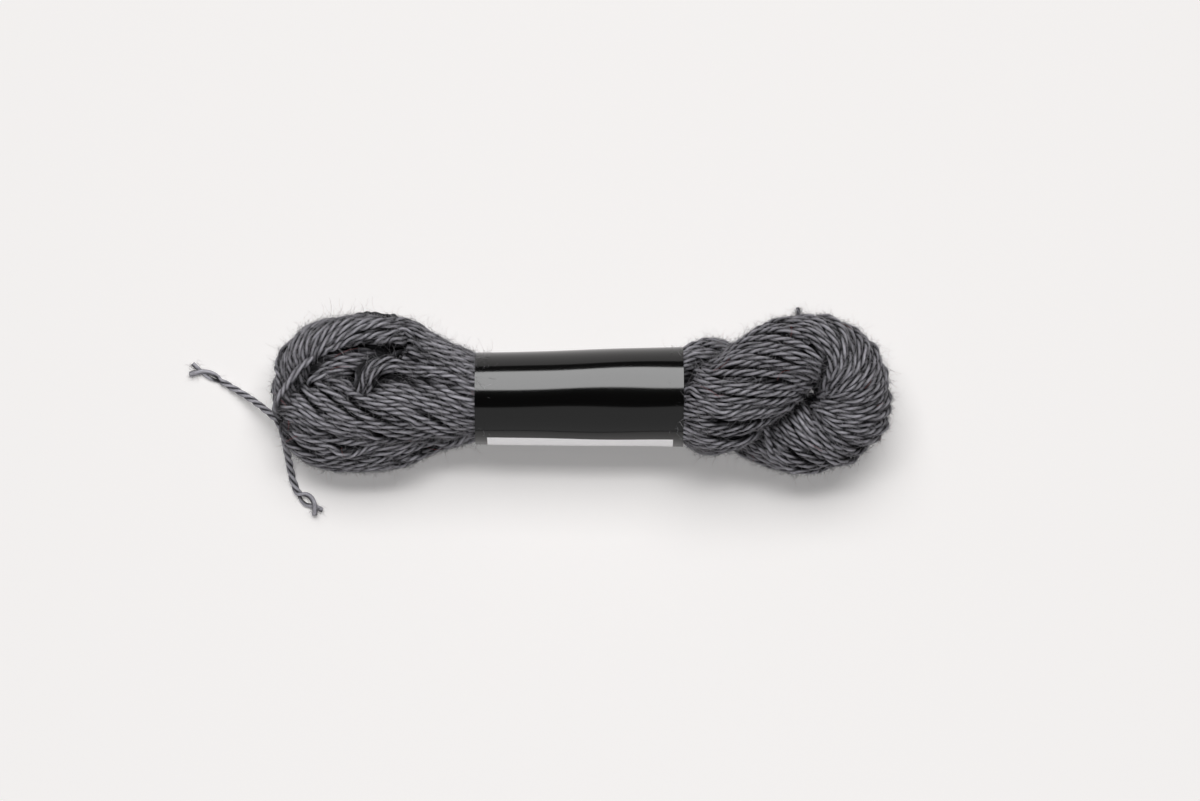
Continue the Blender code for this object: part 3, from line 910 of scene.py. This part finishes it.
# Some threads lie apart from the bundles: three bulge in small loops at the left end, and a cut
# end sticks out at the top of the right bulb.
HIGH_LOOP = [
    (-55.2, 2.6, 11.9),
    (-56.4, 1.8, 11.9),
    (-56.9, 0.2, 11.3),
    (-56.4, -1.4, 10.6),
    (-55.2, -2.4, 10.0),
]
MIDDLE_LOOP = [
    (-55.0, 3.4, 9.6),
    (-56.5, 3.0, 9.7),
    (-57.3, 1.4, 9.4),
    (-57.3, -0.4, 9.0),
    (-56.4, -1.6, 8.6),
    (-55.0, -1.9, 8.4),
]
LOW_LOOP = [
    (-54.9, 1.6, 7.4),
    (-56.6, 1.3, 7.3),
    (-57.4, -0.2, 7.1),
    (-57.2, -1.9, 6.9),
    (-55.8, -2.7, 6.8),
]
CUT_END = [(39.2, 12.4, 13.0), (39.4, 13.6, 13.3), (39.6, 14.6, 13.6), (39.3, 15.5, 13.9)]
LOOPS = [MIDDLE_LOOP, HIGH_LOOP, LOW_LOOP]
LOOP_THICKNESS, CUT_END_THICKNESS = 1.1, 0.8
SINGLE_STEP, SINGLE_SHADE = 0.4, 0.3
strands = Strands()
single_lines = []
for route in (*LOOPS, CUT_END):
    line = even_line(smooth_line(route, LAY_STEP), SINGLE_STEP)
    thickness = CUT_END_THICKNESS if route is CUT_END else LOOP_THICKNESS
    shape = {"phase": RNG.uniform(0, 6), "shade": SINGLE_SHADE}
    strands.add(line, thickness / 2, thread_section(), TIE_PITCH, **shape)
    single_lines.append(line)
singles = strands.make_object("single_threads")
singles.data.materials.append(SILK)
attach(singles, "root")

# Below the threads that show, each bundle is packed with more of them.
CORE_INSET = 2.4
CORE_CORNERS = 24
core_form = bmesh.new()
core_angles = 2 * math.pi * np.arange(CORE_CORNERS) / CORE_CORNERS
for lay in lays.values():
    rings = []
    for k in range(0, len(lay.middle), RING_EVERY):
        across = np.cos(core_angles) * max(lay.across[k] - CORE_INSET, THINNEST)
        tall = np.sin(core_angles) * max(lay.tall[k] - CORE_INSET, THINNEST)
        ring = lay.middle[k] + lay.side[k] * across[:, None] + lay.up[k] * tall[:, None]
        rings.append([core_form.verts.new(p * MM) for p in squeezed(ring)])
    for near, far in zip(rings, rings[1:]):
        for k in range(CORE_CORNERS):
            following = (k + 1) % CORE_CORNERS
            core_form.faces.new((near[k], near[following], far[following], far[k]))
    core_form.faces.new(rings[0][::-1])
    core_form.faces.new(rings[-1])
bmesh.ops.recalc_face_normals(core_form, faces=core_form.faces)
core_mesh = bpy.data.meshes.new("hank_core")
core_form.to_mesh(core_mesh)
core_form.free()
core_mesh.shade_smooth()
core = bpy.data.objects.new("hank_core", core_mesh)
bpy.context.scene.collection.objects.link(core)
# The core's colour is painted shade: it is nearly black, as the threads deep in a bundle lie in
# shadow.
shaded_silk = {"Base Color": (0.012, 0.012, 0.014, 1.0), "Roughness": 0.9}
core.data.materials.append(new_material("thread in the shade", shaded_silk))
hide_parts("hank")
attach(core, "root")

# ------------------------------------------------------------
# The silk is hairy: single fibres stand off the threads all over the hank and the tie. The halo
# stands out from the hank's walls, and the longest fibres lie close along the threads. A few of
# them are stray red ones.
# ------------------------------------------------------------

# Steepest is how far up or down the way out of the hank may point where they grow.
ON_WALLS, ANYWHERE = 0.35, math.inf
Hair = namedtuple("Hair", "piece count shortest longest rise curl steps steepest")
HAIRS = [
    Hair("halo", 2400, 0.5, 1.8, 1.6, 0.6, 4, ON_WALLS),
    Hair("fuzz", 5200, 0.6, 1.9, 0.6, 0.6, 3, ANYWHERE),
    Hair("fibres", 2300, 2.0, 5.5, 0.25, 0.22, 5, ANYWHERE),
]
TUFT = Hair("halo", 60, 0.6, 2.2, 1.0, 0.6, 4, ANYWHERE)
CUT_END_HAIRS, TIE_HAIRS, TIP_HAIRS, TIP_POINTS = 180, 150, 16, 7
HAIR_RADIUS, HAIR_TAPER, HAIR_ROOT = 0.023, (1.0, 0.5), 0.42
SIDEWAYS, RISE_SHAPE, LOWEST_HAIR = 0.8, 1.5, 0.05
RED_SHARE = 0.006
LEAST_OPEN = 0.35

fibre = new_material("silk fibre", {"Roughness": 0.4})
shade, red = (attribute(fibre.node_tree, name) for name in ("shade", "crest"))
grey = mixed(fibre.node_tree, shade, (0.03, 0.029, 0.032, 1.0), (0.36, 0.35, 0.37, 1.0))
mixed(fibre.node_tree, red, grey, (0.16, 0.02, 0.02, 1.0)).feed("Base Color")


def add_hair(strands, root, outward, tangent, kind):
    """One fibre that leaves a thread at its root, along it and outwards, and curls."""
    flat = tangent * RNG.choice((-1, 1)) + np.cross(outward, tangent) * RNG.normal(0, SIDEWAYS)
    heading = unit(flat) + outward * kind.rise * RNG.random() ** RISE_SHAPE
    bend = RNG.normal(0, kind.curl, 3)
    length = RNG.uniform(kind.shortest, kind.longest)
    points = [root + outward * THREAD * HAIR_ROOT]
    for _ in range(kind.steps):
        heading = unit(heading)
        points.append(points[-1] + heading * length / kind.steps)
        heading = heading + bend + RNG.normal(0, kind.curl / 2, 3)
    hair = np.array(points)
    hair[:, 2] = np.maximum(hair[:, 2], LOWEST_HAIR)
    red = float(kind.piece == "fibres" and RNG.random() < RED_SHARE)
    looks = {"taper": np.linspace(*HAIR_TAPER, len(hair)), "crest": red, "shade": RNG.random()}
    strands.add(hair, HAIR_RADIUS * (1 + red), round_section(3), **looks)


outer_lines = [line for line, run in zip(thread_lines, thread_runs) if run.layer == 0]
roots = np.concatenate([line[1:-1] for line in outer_lines])
root_along = np.concatenate([line[2:, :3] - line[:-2, :3] for line in outer_lines])
in_light = roots[:, 3] > LEAST_OPEN
roots, root_along = roots[in_light], root_along[in_light]
tufts = {
    "left": [(line, TUFT.count) for line in single_lines[:-1]] + [(tie_line, TIE_HAIRS)],
    "right": [(single_lines[-1], CUT_END_HAIRS)],
}
for ply in tie_plies:
    tufts["left"] += [(ply[:TIP_POINTS], TIP_HAIRS), (ply[-TIP_POINTS:], TIP_HAIRS)]
for side_name, side_sign in (("left", -1), ("right", 1)):
    for kind in HAIRS:
        strands = Strands()
        made = 0
        while made < kind.count:
            i = RNG.integers(len(roots))
            outward = unit(roots[i, 4:7])
            if roots[i, 0] * side_sign < 0 or abs(outward[2]) > kind.steepest:
                continue
            add_hair(strands, roots[i, :3], outward, unit(root_along[i]), kind)
            made += 1
        if kind.piece == TUFT.piece:
            for line, count in tufts[side_name]:
                for _ in range(count):
                    i = RNG.integers(1, len(line) - 1)
                    tangent = unit(line[i + 1] - line[i - 1])
                    outward = unit(np.cross(tangent, RNG.normal(0, 1, 3)))
                    add_hair(strands, line[i], outward, tangent, TUFT)
        hairs = strands.make_object(f"{side_name}_{kind.piece}")
        hairs.data.materials.append(fibre)
        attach(hairs, "root")

# ------------------------------------------------------------
# The band is a strip of paper, printed glossy black and rolled round the hank's waist, with its
# end glued over its start underneath. Its cut edges show the white of the paper, and a blank
# white panel runs along its lower side.
# ------------------------------------------------------------
PAPER = 0.2
BAND_REACH = 1.3

# Degrees round the waist, from the side at the top of the picture and over the top of the hank.
STRIP_START, STRIP_END = -100.0, 290.0
LAP_RISE, LAP_START = 0.25, 215.0
PANEL_STARTS, PANEL_END = (147.0, 150.0), 190.0

PANEL_X = (-17.8, 16.4)
BAND_COLUMNS, BAND_ROWS = 36, 100
WAVES, WAVE_HEIGHTS, WAVE_LENGTHS = 5, (0.02, 0.05), (20, 50)
EDGE_ANGLE = 35

band_x = np.linspace(BAND_LEFT, BAND_RIGHT, BAND_COLUMNS + 1)
for edge in PANEL_X:
    band_x[np.argmin(np.abs(band_x - edge))] = edge
band_turns = np.linspace(STRIP_START, STRIP_END, BAND_ROWS + 1)
panel_top, panel_bottom = (
    int(np.argmin(np.abs(band_turns - turn))) for turn in (np.mean(PANEL_STARTS), PANEL_END)
)
waist = np.array(WAIST)
waves = [
    (RNG.uniform(*WAVE_HEIGHTS), RNG.uniform(*WAVE_LENGTHS), RNG.uniform(0, 6))
    for _ in range(WAVES)
]


def band_point(x, row, out):
    """A point of the paper at a place along the band, on a row round it, out from the waist."""
    turn = band_turns[row]
    if row == panel_top:
        turn = float(np.interp(x, (BAND_LEFT, BAND_RIGHT), PANEL_STARTS))
    y0, z0, across, tall = (float(np.interp(x, waist[:, 0], column)) for column in waist[:, 1:].T)
    angle = math.radians(turn)
    for number, (height, length, phase) in enumerate(waves):
        out += height * math.sin(2 * math.pi * x / length + phase + number * angle)
    out += LAP_RISE * max(0.0, (turn - LAP_START) / (STRIP_END - LAP_START))
    return (
        x * MM,
        (y0 + (across + out) * math.cos(angle)) * MM,
        (z0 + (tall + out) * math.sin(angle)) * MM,
    )


band_form = bmesh.new()
BLACK, WHITE = 0, 1


def add_paper(colour, *corners):
    """One face of the paper."""
    band_form.faces.new(corners).material_index = colour


front, back = (
    [[band_form.verts.new(band_point(x, k, out)) for k in range(BAND_ROWS + 1)] for x in band_x]
    for out in (BAND_REACH, BAND_REACH - PAPER)
)
for i in range(BAND_COLUMNS):
    between_ends = PANEL_X[0] < (band_x[i] + band_x[i + 1]) / 2 < PANEL_X[1]
    for k in range(BAND_ROWS):
        colour = WHITE if between_ends and panel_top <= k < panel_bottom else BLACK
        add_paper(colour, front[i][k], front[i + 1][k], front[i + 1][k + 1], front[i][k + 1])
        add_paper(WHITE, back[i][k], back[i][k + 1], back[i + 1][k + 1], back[i + 1][k])
for k in range(BAND_ROWS):
    for a, b, i in ((front, back, 0), (back, front, BAND_COLUMNS)):
        add_paper(WHITE, a[i][k], a[i][k + 1], b[i][k + 1], b[i][k])
for i in range(BAND_COLUMNS):
    for a, b, k in ((back, front, 0), (front, back, BAND_ROWS)):
        add_paper(WHITE, a[i][k], a[i + 1][k], b[i + 1][k], b[i][k])
bmesh.ops.recalc_face_normals(band_form, faces=band_form.faces)
band_mesh = bpy.data.meshes.new("band_paper")
band_form.to_mesh(band_mesh)
band_form.free()
band = bpy.data.objects.new("band_paper", band_mesh)
bpy.context.scene.collection.objects.link(band)
bpy.context.view_layer.objects.active = band
band.select_set(True)
bpy.ops.object.shade_smooth_by_angle(angle=math.radians(EDGE_ANGLE))
bpy.ops.object.select_all(action="DESELECT")
black_gloss = {
    "Base Color": (0.0015, 0.0014, 0.0014, 1.0),
    "Roughness": 0.12,
    "Specular IOR Level": 0.45,
}
bare_paper = {"Base Color": (0.92, 0.905, 0.92, 1.0), "Roughness": 0.35}
band.data.materials.append(new_material("black gloss paper", black_gloss))
band.data.materials.append(new_material("white paper", bare_paper))
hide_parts("band")
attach(band, "root")

# ------------------------------------------------------------
# The surface is plain and pale. Some of the lamps light the skein alone: the surface's share of
# their light, which nothing shades, is painted light, a faint glow in its emission that is stronger
# towards the bottom of the picture.
# ------------------------------------------------------------
SURFACE_SIZE = 3.0
PAINTED_LIGHT_SLOPE, PAINTED_LIGHT_AT_MIDDLE = 2.5, 0.5
PAINTED_LIGHT_BELOW, PAINTED_LIGHT_ABOVE = (0.42, 0.413, 0.411, 1.0), (0.12, 0.118, 0.117, 1.0)
bpy.ops.mesh.primitive_plane_add(size=SURFACE_SIZE, location=(0, 0, 0))
surface = bpy.context.object
surface.name = "surface"
pale = {
    "Base Color": (0.83, 0.81, 0.80, 1.0),
    "Roughness": 0.9,
    "Specular IOR Level": 0.2,
    "Emission Strength": 1.0,
}
pale_surface = new_material("pale surface", pale)
# Painted light: the surface's emission, stronger towards the bottom of the picture.
place = node(pale_surface.node_tree, "ShaderNodeTexCoord", output="Object")
y = node(pale_surface.node_tree, "ShaderNodeSeparateXYZ", (place,), output="Y")
share = y * PAINTED_LIGHT_SLOPE + PAINTED_LIGHT_AT_MIDDLE
mixed(pale_surface.node_tree, share, PAINTED_LIGHT_BELOW, PAINTED_LIGHT_ABOVE).feed("Emission Color")
surface.data.materials.append(pale_surface)

# ------------------------------------------------------------
# The lamps are flat panels that face the middle, tilted from overhead: towards the top of the
# picture where the tilt is negative, and towards the bottom where it is positive. Some only light
# the skein, and two are only seen as reflections in its gloss. Sizes are in metres.
# ------------------------------------------------------------
Lamp = namedtuple("Lamp", "name tilt distance width height radiance lights reflects on_surface")
LAMPS = [
    Lamp("key", -21.5, 1.0, 0.9, 0.18, 6.9, True, False, True),
    Lamp("key_wide", -35.0, 1.0, 0.9, 0.5, 4.4, True, False, True),
    Lamp("overhead", 24.0, 1.0, 0.9, 0.85, 1.4, True, False, False),
    Lamp("softbox", -47.0, 1.0, 0.9, 0.93, 8.3, False, True, False),
    Lamp("fill", 55.0, 1.0, 1.4, 1.3, 0.36, True, False, False),
    Lamp("low_sheet", 55.0, 0.95, 1.33, 1.24, 0.64, False, True, False),
]
WORLD_LIGHT = 0.03
skein = bpy.data.collections.new("skein")
for piece in bpy.context.scene.objects:
    if piece.type == "MESH" and piece != surface:
        skein.objects.link(piece)
for lamp in LAMPS:
    light = bpy.data.lights.new(lamp.name, "AREA")
    light.shape = "RECTANGLE"
    light.size, light.size_y = lamp.width, lamp.height
    light.energy = lamp.radiance * math.pi * lamp.width * lamp.height
    panel = bpy.data.objects.new(lamp.name, light)
    tilt = math.radians(lamp.tilt)
    panel.location = (0.0, -math.sin(tilt) * lamp.distance, math.cos(tilt) * lamp.distance)
    panel.rotation_euler = (tilt, 0.0, 0.0)
    panel.visible_diffuse = lamp.lights
    panel.visible_glossy = lamp.reflects
    bpy.context.scene.collection.objects.link(panel)
    if not lamp.on_surface:
        panel.light_linking.receiver_collection = skein

world = bpy.data.worlds.new("studio")
world.use_nodes = True
world.node_tree.nodes["Background"].inputs["Color"].default_value = (1, 1, 1, 1)
world.node_tree.nodes["Background"].inputs["Strength"].default_value = WORLD_LIGHT
bpy.context.scene.world = world
bpy.context.scene.view_settings.view_transform = "Standard"
